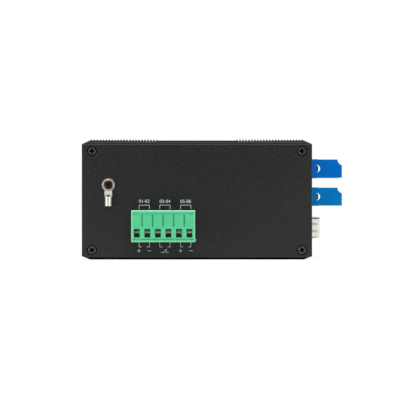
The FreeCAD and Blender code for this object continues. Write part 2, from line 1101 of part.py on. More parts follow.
def clamp_screw(x):
    """Slotted clamp screw; its head turns on the shoulder above the chamber."""
    seat = head_seat + seat_gap / 2
    tip = bar_high + seat_gap
    shank = Part.makeCylinder(clamp_screw_d / 2, seat - tip, V(x, clamp_y, tip), ALONG_Z)
    head = Part.makeCylinder(
        clamp_screw_head / 2, clamp_screw_head_height, V(x, clamp_y, seat), ALONG_Z
    )
    slot = block(
        x - clamp_slot_width / 2,
        x + clamp_slot_width / 2,
        clamp_y - clamp_screw_head,
        clamp_y + clamp_screw_head,
        seat + clamp_screw_head_height - clamp_slot_depth,
        seat + clamp_screw_head_height + cut_over,
    )
    return shank.fuse(head).removeSplitter().cut(slot)


def clamp_cage(x):
    """Rising cage: a short square tube with a thick tapped top, drawn up by its screw."""
    half_length_y = clamp_cage_length / 2
    cage = block(
        x - clamp_cage_width / 2,
        x + clamp_cage_width / 2,
        clamp_y - half_length_y,
        clamp_y + half_length_y,
        clamp_cage_low,
        clamp_cage_high,
    )
    inside = block(
        x - clamp_cage_width / 2 + clamp_cage_side,
        x + clamp_cage_width / 2 - clamp_cage_side,
        clamp_y - half_length_y - cut_over,
        clamp_y + half_length_y + cut_over,
        clamp_cage_inside,
        clamp_cage_ceiling,
    )
    thread = Part.makeCylinder(
        clamp_screw_d / 2 + thread_clearance,
        clamp_cage_top + 2 * cut_over,
        V(x, clamp_y, clamp_cage_ceiling - cut_over),
        ALONG_Z,
    )
    return cage.cut([inside, thread])


def ring_lug():
    """Crimp lug: a flat ring on the plate, a neck and a round barrel with a slanting mouth."""
    face = power_face
    ring = Part.makeCylinder(lug_ring_d / 2, lug_sheet, V(ground_x, face, ground_z), -ALONG_Y)
    half = lug_neck_width / 2
    mouth_low = ground_z - lug_barrel_start
    mouth_high = ground_z - lug_neck_end
    neck = block(ground_x - half, ground_x + half, face - lug_sheet, face, mouth_low, ground_z)
    radius = lug_barrel_d / 2
    length = mouth_high - mouth_low + lug_barrel_length
    barrel_foot = V(ground_x, face - radius, mouth_high - length)
    barrel = Part.makeCylinder(radius, length, barrel_foot, ALONG_Z)
    bore = Part.makeCylinder(lug_barrel_bore / 2, length, barrel_foot, ALONG_Z)
    slope = [
        V(ground_x - lug_barrel_d, face - lug_sheet, mouth_high),
        V(ground_x - lug_barrel_d, face - lug_barrel_d, mouth_low),
        V(ground_x - lug_barrel_d, face - lug_barrel_d - cut_over, mouth_low),
        V(ground_x - lug_barrel_d, face - lug_barrel_d - cut_over, mouth_high),
    ]
    above_mouth = Part.Face(Part.makePolygon(slope + slope[:1])).extrude(V(2 * lug_barrel_d, 0, 0))
    hole = Part.makeCylinder(
        ground_screw_d / 2 + hole_clearance,
        lug_sheet + 2 * cut_over,
        V(ground_x, face + cut_over, ground_z),
        -ALONG_Y,
    )
    tube = barrel.cut([bore, above_mouth])
    return ring.fuse([neck, tube]).removeSplitter().cut(hole)


def ground_screw():
    """Screw with a low tapered head that clamps the lug to the plate."""
    seat = V(ground_x, power_face - lug_sheet, ground_z)
    taper = ground_head_height - ground_head_rim
    crown = seat - ALONG_Y * ground_head_rim
    head = Part.makeCylinder(ground_head_d / 2, ground_head_rim, seat, -ALONG_Y)
    top = Part.makeCone(ground_head_d / 2, ground_head_d / 2 - taper, taper, crown, -ALONG_Y)
    shank = Part.makeCylinder(ground_screw_d / 2, ground_screw_length, seat, ALONG_Y)
    return head.fuse([top, shank])


def ground_nut():
    """Hexagonal nut behind the power end plate."""
    nut = hexagon_along_z(0, 0, ground_nut_flats, 0, ground_nut_height)
    bore = Part.makeCylinder(ground_screw_d / 2 + thread_clearance, ground_nut_height, V(0, 0, 0), ALONG_Z)
    nut = nut.cut(bore)
    nut.rotate(V(0, 0, 0), ALONG_X, -90)
    nut.translate(V(ground_x, -half_length, ground_z))
    return nut


def switch_chip():
    """Flat square package on the main board."""
    half = chip_size / 2
    return block(
        chip_x - half,
        chip_x + half,
        chip_y - half,
        chip_y + half,
        main_board_top,
        main_board_top + chip_height,
    )


def chip_heat_sink():
    """Finned sink on the chip: a base plate and a row of upright fins."""
    half = sink_size / 2
    low = main_board_top + chip_height
    sink = block(chip_x - half, chip_x + half, chip_y - half, chip_y + half, low, low + sink_base)
    pitch = (sink_size - sink_fin_thickness) / (sink_fins - 1)
    fins = []
    for index in range(sink_fins):
        x = chip_x - half + index * pitch
        fins.append(
            block(x, x + sink_fin_thickness, chip_y - half, chip_y + half, low, low + sink_height)
        )
    return sink.fuse(fins).removeSplitter()


def magnetics():
    """One isolating transformer block behind each copper jack."""
    front = jack_front - jack_length - magnetics_gap
    half = magnetics_width / 2
    return [
        block(
            front - magnetics_length,
            front,
            y - half,
            y + half,
            main_board_top,
            main_board_top + magnetics_height,
        )
        for y in jack_places
    ]


def bulk_capacitors():
    """Two upright cans, each on a square foot with two bevelled corners."""
    radius = capacitor_d / 2
    cans = []
    for index in range(capacitor_count):
        x = capacitor_x + index * capacitor_pitch
        foot = block(
            x - radius,
            x + radius,
            capacitor_y - radius,
            capacitor_y + radius,
            main_board_top,
            main_board_top + capacitor_foot,
        )
        bevelled = [
            edge
            for edge in foot.Edges
            if edge.BoundBox.ZLength > capacitor_foot / 2 and edge.BoundBox.XMax < x
        ]
        foot = foot.makeChamfer(capacitor_foot_bevel, bevelled)
        can_low = V(x, capacitor_y, main_board_top + capacitor_foot)
        can = Part.makeCylinder(radius, capacitor_height - capacitor_foot, can_low, ALONG_Z)
        cans.append(foot.fuse(can))
    return cans


def power_inductor():
    """Square shielded choke with bevelled corners."""
    half = inductor_size / 2
    body = block(
        inductor_x - half,
        inductor_x + half,
        inductor_y - half,
        inductor_y + half,
        main_board_top,
        main_board_top + inductor_height,
    )
    corners = [edge for edge in body.Edges if edge.BoundBox.ZLength > inductor_height / 2]
    return body.makeChamfer(inductor_corner, corners)


def alarm_relay():
    """Sealed relay for the alarm contact."""
    body = block(
        relay_x - relay_length / 2,
        relay_x + relay_length / 2,
        relay_y - relay_width / 2,
        relay_y + relay_width / 2,
        main_board_top,
        main_board_top + relay_height,
    )
    upper = [
        edge
        for edge in body.Edges
        if all(corner.Z > main_board_top + relay_height / 2 for corner in edge.Vertexes)
    ]
    return body.makeFillet(relay_edge, upper)


os.makedirs("parts", exist_ok=True)

# Case
save("case_extrusion", case_extrusion())
save("front_panel", front_panel())
save("power_end_plate", power_end_plate())
save("plain_end_plate", end_plate(half_length, plain_face))
save("power_end_screws", end_screws(power_face, 1))
save("plain_end_screws", end_screws(plain_face, -1))

# Boards
pins = header_pins()
save("main_board", main_board(pins))
save("fibre_board_lower", fibre_board(lower_board_top))
save("fibre_board_upper", fibre_board(upper_board_top))
save("stack_spacers_lower", stack_spacers(main_board_top, lower_board_top, False))
save("stack_spacers_upper", stack_spacers(lower_board_top, upper_board_top, True))
save("stack_screws", stack_screws())
save("stack_connectors", stack_connectors())

# Ports
for level, floor in (("lower", lower_board_top), ("upper", upper_board_top)):
    save("fibre_transceiver_" + level, fibre_transceiver(floor))
    save("fibre_nose_" + level, fibre_nose(floor))
    save("sleeve_holder_" + level, sleeve_holder(floor))
save("sfp_cage", sfp_cage())
save("sfp_spring_collar", sfp_spring_collar())
save("sfp_connector", sfp_connector())
for number, place in enumerate(jack_places, start=1):
    save("jack_shield_" + str(number), jack_shield(place))
    save("jack_insert_" + str(number), jack_insert(place))
    save("jack_contacts_" + str(number), jack_contacts(place))
save("indicator_lamps", indicator_lamps())

# Power terminals
save("header_pins", pins)
save("terminal_header", terminal_header(pins))
save("terminal_plug", terminal_plug())
save("plug_contacts", plug_contacts())
for number, place in enumerate(pole_places, start=1):
    save("clamp_screw_" + str(number), clamp_screw(place))
    save("clamp_cage_" + str(number), clamp_cage(place))

# Ground
save("ring_lug", ring_lug())
save("ground_screw", ground_screw())
save("ground_nut", ground_nut())

# Main board's parts
save("switch_chip", switch_chip())
save("chip_heat_sink", chip_heat_sink())
save("magnetics", magnetics())
save("bulk_capacitors", bulk_capacitors())
save("power_inductor", power_inductor())
save("alarm_relay", alarm_relay())
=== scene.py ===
import json
import math

import bpy
from mathutils import Matrix, Vector

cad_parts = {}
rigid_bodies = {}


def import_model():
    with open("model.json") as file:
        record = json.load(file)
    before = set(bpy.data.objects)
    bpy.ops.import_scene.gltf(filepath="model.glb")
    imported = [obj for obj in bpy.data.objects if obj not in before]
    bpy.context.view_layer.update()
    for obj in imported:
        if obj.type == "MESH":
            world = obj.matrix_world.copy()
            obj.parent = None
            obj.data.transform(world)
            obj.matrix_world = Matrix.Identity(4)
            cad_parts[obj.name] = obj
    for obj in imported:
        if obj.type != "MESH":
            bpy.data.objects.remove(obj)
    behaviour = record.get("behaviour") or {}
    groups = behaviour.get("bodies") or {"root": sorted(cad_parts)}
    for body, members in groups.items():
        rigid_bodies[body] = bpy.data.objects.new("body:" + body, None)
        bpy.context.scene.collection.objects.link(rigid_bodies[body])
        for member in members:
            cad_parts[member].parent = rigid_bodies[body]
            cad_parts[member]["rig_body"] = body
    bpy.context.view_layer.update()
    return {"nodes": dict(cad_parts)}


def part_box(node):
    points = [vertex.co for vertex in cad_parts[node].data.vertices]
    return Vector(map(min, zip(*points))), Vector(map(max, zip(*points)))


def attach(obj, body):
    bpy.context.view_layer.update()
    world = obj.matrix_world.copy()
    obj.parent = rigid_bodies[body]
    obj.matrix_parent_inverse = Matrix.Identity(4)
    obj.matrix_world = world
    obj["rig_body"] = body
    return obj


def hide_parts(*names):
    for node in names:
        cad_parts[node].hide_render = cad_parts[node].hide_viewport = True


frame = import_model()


# Case: one length of extruded aluminium with three walls and a ridged top, cut to length,
# blasted and anodised black. The die's fine lines still run along it under the black.
solids = frame["nodes"]


def feed(node, inputs):
    """Set a node's sockets to values, or link wires to them."""
    for name, value in inputs.items():
        if isinstance(value, Wire):
            value.tree.links.new(value.socket, node.inputs[name])
        else:
            node.inputs[name].default_value = value


class Wire:
    """One output socket of a finish; operators on it add Math nodes, node() adds any other."""

    def __init__(self, tree, socket):
        self.tree = tree
        self.socket = socket

    def node(self, kind, settings, inputs, output=0):
        """Add a node: its type, its settings, its sockets' values or wires, and the output to read."""
        made = self.tree.nodes.new(kind)
        for name, value in settings.items():
            setattr(made, name, value)
        feed(made, inputs)
        return Wire(self.tree, made.outputs[output])

    def maths(self, operation, first, second):
        """Add a Math node on two values or wires."""
        return self.node("ShaderNodeMath", {"operation": operation}, {0: first, 1: second})

    def __abs__(self):
        return self.maths("ABSOLUTE", self, 0)

    def __add__(self, other):
        return self.maths("ADD", self, other)

    __radd__ = __add__

    def __mul__(self, other):
        return self.maths("MULTIPLY", self, other)

    __rmul__ = __mul__

    def __sub__(self, other):
        return self.maths("SUBTRACT", self, other)

    def __rsub__(self, other):
        return self.maths("SUBTRACT", other, self)

    def __gt__(self, other):
        return self.maths("GREATER_THAN", self, other)


def coordinate(place, name):
    """One coordinate, X, Y or Z, of a place."""
    return place.node("ShaderNodeSeparateXYZ", {}, {0: place}, name)


def grain(place, scale, detail=2.0, stretch=(1, 1, 1)):
    """Noise of about scale spots a metre, drawn out along an axis whose stretch is small."""
    drawn = place.node("ShaderNodeVectorMath", {"operation": "MULTIPLY"}, {0: place, 1: stretch})
    return place.node("ShaderNodeTexNoise", {}, {"Vector": drawn, "Scale": scale, "Detail": detail})


def tint(mask, low, high):
    """Colour that runs with a mask from low to high, each a colour or the wire of one."""
    colours = [colour if isinstance(colour, Wire) else (*colour, 1) for colour in (low, high)]
    return mask.node("ShaderNodeMix", {"data_type": "RGBA"}, {0: mask, 6: colours[0], 7: colours[1]}, 2)


def relief(height, depth):
    """Bump of a depth in metres."""
    return height.node("ShaderNodeBump", {}, {"Height": height, "Distance": depth})


def new_finish(name):
    """A material, its shader, and the wire of the piece's own places."""
    material = bpy.data.materials.new(name)
    material.use_nodes = True
    tree = material.node_tree
    place = Wire(tree, tree.nodes.new("ShaderNodeTexCoord").outputs["Object"])
    return material, tree.nodes["Principled BSDF"], place


def activate(piece):
    """Make one object the only selected one, and active."""
    bpy.ops.object.select_all(action="DESELECT")
    bpy.context.view_layer.objects.active = piece
    piece.select_set(True)


def apply_modifier(piece, kind, **settings):
    """Add one modifier with its settings and apply it."""
    activate(piece)
    modifier = piece.modifiers.new(kind, kind)
    for name, value in settings.items():
        setattr(modifier, name, value)
    bpy.ops.object.modifier_apply(modifier=modifier.name)


def round_edges(piece, width, turn, steps=2):
    """Round the edges at which the surface turns by more than an angle in degrees."""
    apply_modifier(
        piece,
        "BEVEL",
        width=width,
        segments=steps,
        limit_method="ANGLE",
        angle_limit=math.radians(turn),
    )


def paint(piece, finish):
    """Give a piece one finish all over."""
    piece.data.materials.clear()
    piece.data.materials.append(finish)


smooth_turn = 40


def shade(piece, finish):
    """Smooth shading within rounded edges, flat faces kept flat, and one finish all over."""
    activate(piece)
    bpy.ops.object.shade_smooth_by_angle(angle=math.radians(smooth_turn))
    apply_modifier(piece, "WEIGHTED_NORMAL", keep_sharp=True)
    paint(piece, finish)


def fit(piece, node):
    """Let a finished piece stand for a CAD solid, on its body, with the solid hidden."""
    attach(piece, solids[node]["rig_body"])
    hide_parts(node)


def own_copy(piece, name):
    """A copy of an object with a mesh of its own."""
    copy = bpy.data.objects.new(name, piece.data.copy())
    bpy.context.collection.objects.link(copy)
    return copy


weld_gap = 2e-6
flat_turn = 0.5
sharp_turn = 29


def rounded(node, width, finish, steps=2):
    """Stand in for a CAD solid by the same form with its sharp edges rounded."""
    piece = own_copy(solids[node], node + "_finished")
    activate(piece)
    bpy.ops.mesh.customdata_custom_splitnormals_clear()
    bpy.ops.object.mode_set(mode="EDIT")
    bpy.ops.mesh.select_all(action="SELECT")
    bpy.ops.mesh.remove_doubles(threshold=weld_gap)
    bpy.ops.mesh.dissolve_limited(angle_limit=math.radians(flat_turn))
    bpy.ops.object.mode_set(mode="OBJECT")
    round_edges(piece, width, sharp_turn, steps)
    shade(piece, finish)
    fit(piece, node)


def extruded_black(sawn_from, lit_from, lit_to, shaded_below):
    """Black anodising over fine die lines; on the sawn ends a painted highlight band under the fins,
    and painted shade, black, at the foot.
    """
    material, shader, place = new_finish("extruded_black")
    blast = grain(place, 2600)
    lines = grain(place, 1500, 3.0, (1, 0.004, 1))
    cloud = grain(place, 90, 3.0)
    mask = 0.7 * blast + 1.3 * lines + 0.25 * cloud - 0.62
    height = coordinate(place, "Z")
    sawn = abs(coordinate(place, "Y")) > sawn_from
    # A painted highlight band high on the sawn ends, and painted shade at their foot.
    lit_band = sawn * (height > lit_from) * (1 - (height > lit_to))
    shaded_foot = sawn * (1 - (height > shaded_below))
    walls = tint(mask, (0.001, 0.001, 0.0011), (0.014, 0.014, 0.0143))
    edges = tint(mask, (0.034, 0.034, 0.035), (0.105, 0.105, 0.107))
    feed(
        shader,
        {
            "Base Color": tint(shaded_foot, tint(lit_band, walls, edges), (0.0, 0.0, 0.0)),
            "Metallic": 0.85 * shaded_foot,
            "Roughness": 0.44 + 0.16 * blast,
            "Specular IOR Level": 0.4,
            "Normal": relief(0.6 * blast + 0.4 * lines, 0.00003),
        },
    )
    return material


case_edge = 0.00012
# On the sawn ends, the pale band just under the fins is a painted highlight, and the black at the foot,
# below the plate, is painted shade.
lit_band_drop = 0.0011
lit_band_height = 0.0006
case_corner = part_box("case_extrusion")[1]
lit_band_top = case_corner.z - lit_band_drop
plate_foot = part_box("power_end_plate")[0].z
sawn_face = case_corner.y - case_edge / 2
case_black = extruded_black(sawn_face, lit_band_top - lit_band_height, lit_band_top, plate_foot)
rounded("case_extrusion", case_edge, case_black, steps=3)


# Main board and the two fibre boards: glass-epoxy sheet under green solder mask, with copper
# tracks that show through as paler lines. The main board slides in the case's card guides.
def board_green():
    """Solder mask with bundles of straight tracks and small round vias."""
    material, shader, place = new_finish("board_green")
    track_crest = 0.6
    via_radius = 0.16
    wave = {"Vector": place, "Scale": 260.0, "Distortion": 0.0}
    across = place.node("ShaderNodeTexWave", {"bands_direction": "X"}, wave, 1) > track_crest
    along = place.node("ShaderNodeTexWave", {"bands_direction": "Y"}, wave, 1) > track_crest
    patch = grain(place, 55, 0.0) > 0.5
    cells = place.node("ShaderNodeTexVoronoi", {}, {"Vector": place, "Scale": 320.0}, "Distance")
    via = 1 - (cells > via_radius)
    tracks = across * patch + along * (1 - patch)
    speck = grain(place, 2200)
    mask = 0.55 * tracks + 0.25 * speck
    feed(
        shader,
        {
            "Base Color": tint(mask, (0.006, 0.075, 0.032), (0.03, 0.21, 0.085)),
            "Roughness": 0.34 + 0.12 * speck,
            "Normal": relief(tracks + via, 0.00004),
        },
    )
    return material


board_finish = board_green()
for board in ("main_board", "fibre_board_lower", "fibre_board_upper"):
    paint(solids[board], board_finish)


# Spacers and screws of the board stack: turned hexagon bar and formed screws, plated bright
# zinc. They hold the two fibre boards one above the other over the main board.
def plated(name, base, sheen, roughness, metallic=1.0):
    """Plated metal with faint drawn lines and cloudy patches; a matt plating is less metallic."""
    material, shader, place = new_finish(name)
    speck = grain(place, 3200)
    drawn = grain(place, 2400, 3.0, (1, 1, 0.02))
    cloud = grain(place, 380, 3.0)
    feed(
        shader,
        {
            "Base Color": tint(0.5 * cloud + 0.5 * drawn, base, sheen),
            "Metallic": metallic,
            "Roughness": roughness + 0.14 * drawn + 0.1 * cloud,
            "Normal": relief(0.5 * speck + 0.5 * drawn, 0.000012),
        },
    )
    return material


stack_edge = 0.00015
zinc = plated("bright_zinc", (0.5, 0.5, 0.49), (0.74, 0.74, 0.72), 0.2)
for hardware in ("stack_spacers_lower", "stack_spacers_upper", "stack_screws"):
    rounded(hardware, stack_edge, zinc)


# Connectors between the boards: black moulded sockets and plugs, one above the other, pushed
# together when the stack is screwed up.
def moulded(name, low, high, roughness, specular, depth=0.00002):
    """Moulded plastic with the fine spark texture of its tool and slight clouds of colour."""
    material, shader, place = new_finish(name)
    spark = grain(place, 2800)
    flow = grain(place, 140, 4.0, (1, 0.5, 1))
    feed(
        shader,
        {
            "Base Color": tint(0.35 * spark + 0.65 * flow, low, high),
            "Roughness": roughness + 0.14 * spark + 0.08 * flow,
            "Specular IOR Level": specular,
            "Normal": relief(spark, depth),
        },
    )
    return material


connector_edge = 0.0002
black_moulding = moulded("black_moulding", (0.008, 0.008, 0.009), (0.022, 0.022, 0.023), 0.36, 0.4)
rounded("stack_connectors", connector_edge, black_moulding)


# Parts on the main board: moulded chip with its finned sink, transformers, cans, choke and
# relay. They are soldered to the board, and the sink is glued to the chip.
chip_black = moulded("chip_black", (0.012, 0.012, 0.013), (0.035, 0.035, 0.036), 0.5, 0.4, 0.00004)
bare_aluminium = plated("bare_aluminium", (0.56, 0.56, 0.57), (0.82, 0.82, 0.83), 0.28)
for part, edge, finish, steps in (
    ("switch_chip", 0.00012, chip_black, 2),
    ("magnetics", 0.0003, chip_black, 2),
    ("power_inductor", 0.0004, chip_black, 2),
    ("alarm_relay", 0.00015, chip_black, 2),
    ("chip_heat_sink", 0.00015, bare_aluminium, 2),
    ("bulk_capacitors", 0.0004, bare_aluminium, 3),
):
    rounded(part, edge, finish, steps)


# Power header: green moulding with six square pins through it, tinned and bent down into the
# board. Its mouth stands in the end plate's window and shows when the plug is off.
header_edge = 0.00012
pin_edge = 0.00015
green_moulding = moulded("green_moulding", (0.064, 0.53, 0.242), (0.104, 0.695, 0.338), 0.24, 0.5)
feed(
    green_moulding.node_tree.nodes["Principled BSDF"],
    {"Coat Weight": 1.0, "Coat Roughness": 0.08},
)
tinned = plated("tinned", (0.62, 0.6, 0.575), (0.9, 0.87, 0.84), 0.22)
rounded("terminal_header", header_edge, green_moulding)
rounded("header_pins", pin_edge, tinned)


# Copper jacks: a folded shield of nickel-plated sheet round a black moulded insert, with eight
# gilded spring wires in each bay.
shield_edge = 0.00008
insert_edge = 0.00015
spring_edge = 0.00008
jack_count = 4
nickel_sheet = plated("nickel_sheet", (0.62, 0.59, 0.55), (0.88, 0.85, 0.8), 0.26)
gilt = plated("gilt", (0.78, 0.53, 0.18), (1.0, 0.77, 0.36), 0.18)
for number in range(1, jack_count + 1):
    rounded("jack_shield_%d" % number, shield_edge, nickel_sheet)
    rounded("jack_insert_%d" % number, insert_edge, black_moulding)
    rounded("jack_contacts_%d" % number, spring_edge, gilt)


# Optic cage: folded sheet, plated with matt tin and soldered to the main board, with a spring
# collar round its mouth that earths it to the panel, and a black edge connector at its closed end.
def painted(finish):
    """A finish's shader, the wire of its colour, and the wire of the piece's own places."""
    tree = finish.node_tree
    shader = tree.nodes["Principled BSDF"]
    colour = Wire(tree, shader.inputs["Base Color"].links[0].from_socket)
    return shader, colour, Wire(tree, tree.nodes["Texture Coordinate"].outputs["Object"])


def paint_fold_shade(finish, foot, top):
    """Paint shade, a dark band, on a finish between two heights, where the lid's sheet is folded over
    the side.
    """
    shader, colour, place = painted(finish)
    height = coordinate(place, "Z")
    fold_shade = (height > foot) * (1 - (height > top))
    feed(shader, {"Base Color": tint(fold_shade, colour, (0.22, 0.21, 0.19))})


cage_edge = 0.00008
collar_edge = 0.00006
card_socket_edge = 0.0001
fold_drop = 0.00005
fold_height = 0.0007
fold_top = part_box("sfp_cage")[1].z - fold_drop
tin_sheet = plated("tin_sheet", (0.72, 0.7, 0.65), (0.93, 0.905, 0.85), 0.24, 0.5)
spring_tin = plated("spring_tin", (0.95, 0.92, 0.845), (1.0, 0.97, 0.9), 0.2, 0.12)
# Painted shade: a dark band along the cage and collar just under their top, where the lid is folded
# over.
for sheet in (tin_sheet, spring_tin):
    paint_fold_shade(sheet, fold_top - fold_height, fold_top)
rounded("sfp_cage", cage_edge, tin_sheet)
rounded("sfp_spring_collar", collar_edge, spring_tin)
rounded("sfp_connector", card_socket_edge, black_moulding)


# Fibre transceivers: shielded bodies on the fibre boards, each with a blue moulded nose for a
# pair of plugs. Pale carriers at the bottom of the sockets hold the sleeves for the ferrules.
body_edge = 0.0002
nose_edge = 0.00018
carrier_edge = 0.00015
nose_blue = {
    "upper": moulded("nose_blue", (0.0, 0.118, 0.47), (0.001, 0.158, 0.6), 0.3, 0.04),
    "lower": moulded("nose_teal_blue", (0.0, 0.15, 0.438), (0.001, 0.202, 0.558), 0.3, 0.04),
}
pale_moulding = moulded("pale_moulding", (0.4, 0.62, 0.84), (0.5, 0.72, 0.92), 0.34, 0.4)
for level in ("lower", "upper"):
    rounded("fibre_transceiver_" + level, body_edge, nickel_sheet)
    rounded("fibre_nose_" + level, nose_edge, nose_blue[level], steps=3)
    rounded("sleeve_holder_" + level, carrier_edge, pale_moulding)


# Indicator lamps: six round milky lenses with domed fronts, pushed through the panel's small
# holes from behind.
same_place = 1e-6


def pick(piece, kind, wanted):
    """Go to edit mode with only the vertices or faces selected that pass a test."""
    activate(piece)
    bpy.ops.object.mode_set(mode="EDIT")
    bpy.ops.mesh.select_mode(type={"vertices": "VERT", "polygons": "FACE"}[kind])
    bpy.ops.mesh.select_all(action="DESELECT")
    bpy.ops.object.mode_set(mode="OBJECT")
    for element in getattr(piece.data, kind):
        element.select = wanted(element)
    bpy.ops.object.mode_set(mode="EDIT")


def done_editing():
    """Leave edit mode."""
    bpy.ops.object.mode_set(mode="OBJECT")


def place_mesh(piece):
    """Put an object's place, turn and scale into its mesh."""
    activate(piece)
    bpy.ops.object.transform_apply(location=True, rotation=True, scale=True)


def bar_along(axis, radius, start, end, sides=48):
    """Round bar between two points on a line along one axis."""
    bpy.ops.object.select_all(action="DESELECT")
    turn = {"X": (0, math.pi / 2, 0), "Y": (-math.pi / 2, 0, 0)}[axis]
    bpy.ops.mesh.primitive_cylinder_add(
        vertices=sides,
        radius=radius,
        depth=(end - start).length,
        location=(start + end) / 2,
        rotation=turn,
    )
    piece = bpy.context.object
    place_mesh(piece)
    return piece


def moved_copy(piece, shift):
    """A copy of a piece with a mesh of its own, moved by a shift."""
    copy = own_copy(piece, piece.name)
    copy.location = shift
    place_mesh(copy)
    return copy


def joined(pieces, name):
    """Join pieces into one object."""
    activate(pieces[0])
    for piece in pieces[1:]:
        piece.select_set(True)
    bpy.ops.object.join()
    pieces[0].name = name
    return pieces[0]


def milky_lens():
    """Diffusing plastic with a slightly green cast and soft clouds in it."""
    material, shader, place = new_finish("milky_lens")
    cloud = grain(place, 900, 3.0)
    speck = grain(place, 5000)
    feed(
        shader,
        {
            "Base Color": tint(cloud, (0.52, 0.62, 0.5), (0.72, 0.8, 0.68)),
            "Roughness": 0.16 + 0.12 * speck,
            "Coat Weight": 0.4,
            "Normal": relief(speck, 0.000006),
        },
    )
    return material


lamp_low, lamp_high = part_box("indicator_lamps")
lamp_count = 6
lens_radius = (lamp_high.z - lamp_low.z) / 2
lamp_pitch = (lamp_high.y - lamp_low.y - 2 * lens_radius) / (lamp_count - 1)
lens_sides = 32
dome_rise = 0.0005
dome_steps = 5
lens_back = Vector((lamp_low.x, lamp_low.y + lens_radius, lamp_low.z + lens_radius))
lens_front = Vector((lamp_high.x, lens_back.y, lens_back.z))
lens = bar_along("X", lens_radius, lens_back, lens_front, lens_sides)
pick(lens, "polygons", lambda face: face.center.x > lens_front.x - same_place)
bpy.ops.mesh.bevel(offset=dome_rise, segments=dome_steps, affect="EDGES")
done_editing()
others = [moved_copy(lens, (0, step * lamp_pitch, 0)) for step in range(1, lamp_count)]
lamps = joined([lens, *others], "indicator_lamps_finished")
shade(lamps, milky_lens())
fit(lamps, "indicator_lamps")


# Front panel: a flat strip of aluminium sheet, punched for the ports, anodised black, and slid
# into the case's front grooves before the end plates close them.
def blasted_black(name, face):
    """Black anodising over an evenly blasted sheet, with painted shade, plain dull black, on what is
    sunk below its face.
    """
    material, shader, place = new_finish(name)
    unshaded_skin = abs(coordinate(place, "Y")) > face
    blast = grain(place, 2300)
    mottle = grain(place, 1150, 1.0)
    cloud = grain(place, 60, 3.0)
    mask = 0.2 * blast + 1.2 * mottle + 0.2 * cloud - 0.3
    feed(
        shader,
        {
            "Base Color": tint(mask * unshaded_skin, (0.0, 0.0, 0.0), (0.02, 0.02, 0.0203)),
            "Metallic": 0.85 - 0.85 * unshaded_skin,
            "Roughness": 0.9 - unshaded_skin * (0.5 - 0.24 * mottle),
            "Specular IOR Level": 0.4,
            "Normal": relief(0.6 * blast + 0.4 * mottle, 0.00002),
        },
    )
    return material


panel_edge = 0.00012
nothing_shaded = 0
rounded("front_panel", panel_edge, blasted_black("panel_black", nothing_shaded), steps=3)


# End plates: bevelled aluminium plates, blasted and anodised black, that close both ends of the
# extrusion. The power end's plate has the header's window and the ground screw's hole.
plate_edge = 0.00012
plate_bevel = 0.00035
# Painted shade: all that lies behind a plate's bevelled face, its countersinks and the walls of its
# window and holes, is plain dull black.
plate_black = blasted_black("plate_black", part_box("plain_end_plate")[1].y - plate_bevel - plate_edge)
for plate in ("power_end_plate", "plain_end_plate"):
    rounded(plate, plate_edge, plate_black, steps=3)


# End screws: four countersunk steel screws at each end with a cross recess, blacked, driven
# into the extrusion's bosses and corner blocks. The heads lie just below the plate's face.
cross_taper = 0.8


def block_between(low, high):
    """Block between two corners."""
    bpy.ops.object.select_all(action="DESELECT")
    bpy.ops.mesh.primitive_cube_add(size=1, location=(low + high) / 2)
    piece = bpy.context.object
    piece.scale = high - low
    place_mesh(piece)
    return piece


def boolean(piece, other, operation):
    """Join another shape to a piece, or cut it out, and remove the other."""
    apply_modifier(piece, "BOOLEAN", object=other, operation=operation, solver="EXACT")
    bpy.data.objects.remove(other)


def drive_cross(piece, middle, inward, span, arm, depth):
    """Cut the tapering cross of a screwdriver into a head that faces along Y."""
    proud = depth / 4
    mouth = middle - Vector((0, inward * proud, 0))
    floor = middle + Vector((0, inward * depth, 0))
    for half_x, half_z in ((span / 2, arm / 2), (arm / 2, span / 2)):
        corner = Vector((half_x, 0, half_z))
        low = Vector(map(min, mouth - corner, floor - corner))
        high = Vector(map(max, mouth + corner, floor + corner))
        cutter = block_between(low, high)
        pick(cutter, "polygons", lambda face: abs(face.center.y - floor.y) < same_place)
        bpy.ops.transform.resize(value=(cross_taper, 1, cross_taper), center_override=floor)
        done_editing()
        boolean(piece, cutter, "DIFFERENCE")


def blacked_steel(name, low, high, lit_from):
    """Oiled black oxide in cloudy spots on what lies further out along Y than a given depth; what lies
    deeper gets painted shade, near black and dull.
    """
    material, shader, place = new_finish(name)
    speck = grain(place, 3600)
    cloud = grain(place, 900, 3.0)
    outside = abs(coordinate(place, "Y")) > lit_from
    feed(
        shader,
        {
            "Base Color": tint(outside, (0.002, 0.002, 0.0021), tint(cloud, low, high)),
            "Metallic": 0.6,
            "Roughness": 0.8 - outside * (0.46 - 0.2 * cloud),
            "Specular IOR Level": 0.3,
            "Normal": relief(speck, 0.00001),
        },
    )
    return material
